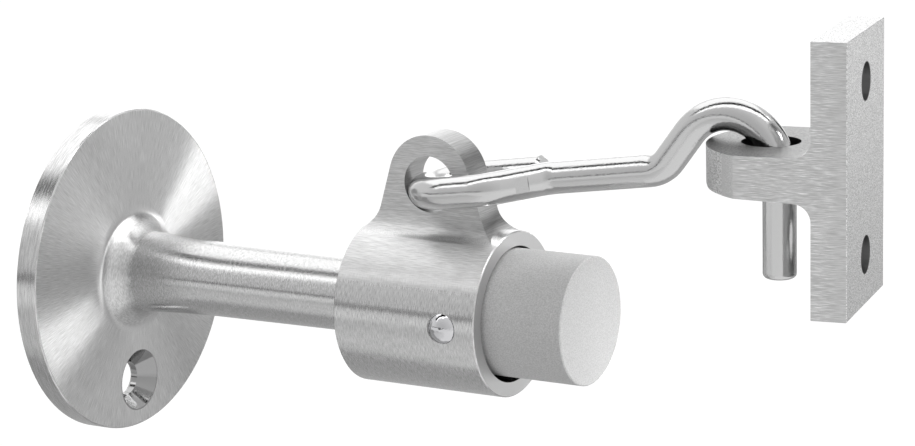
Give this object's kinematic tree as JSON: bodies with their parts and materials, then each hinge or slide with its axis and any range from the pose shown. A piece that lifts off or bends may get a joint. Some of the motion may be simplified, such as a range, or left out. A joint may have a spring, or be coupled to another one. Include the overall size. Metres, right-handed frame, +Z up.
{
  "type": "hook door holder",
  "caption": "Wall-mounted door stop with a round plate, straight post and rubber bumper, whose swinging hook drops through the eye of a keeper plate on the door.",
  "frame": {"origin": "centre of the wall plate's back face, on the post's axis", "axes": "+X out from the wall along the post, +Z up, +Y to the left for someone facing the wall"},
  "size_m": [0.1618, 0.0634, 0.0885],
  "materials": {
    "satin_chrome": "satin chrome plate on a metal casting, brushed",
    "plated_rod": "satin plated steel rod",
    "polished_chrome": "polished pin head",
    "grey_rubber": "matte grey rubber"
  },
  "bodies": {
    "holder": {"holder_body": "satin_chrome", "bumper": "grey_rubber", "bumper_pin": "polished_chrome", "keeper": "satin_chrome"},
    "hook": {"hook": "plated_rod"}
  },
  "joints": [
    {"name": "hook_lift", "type": "hinge", "parent": "holder", "child": "hook", "pos_m": [0.07352, 0, 0.02257], "axis": [0, -1, 0], "range_deg": [0, 105]}
  ]
}
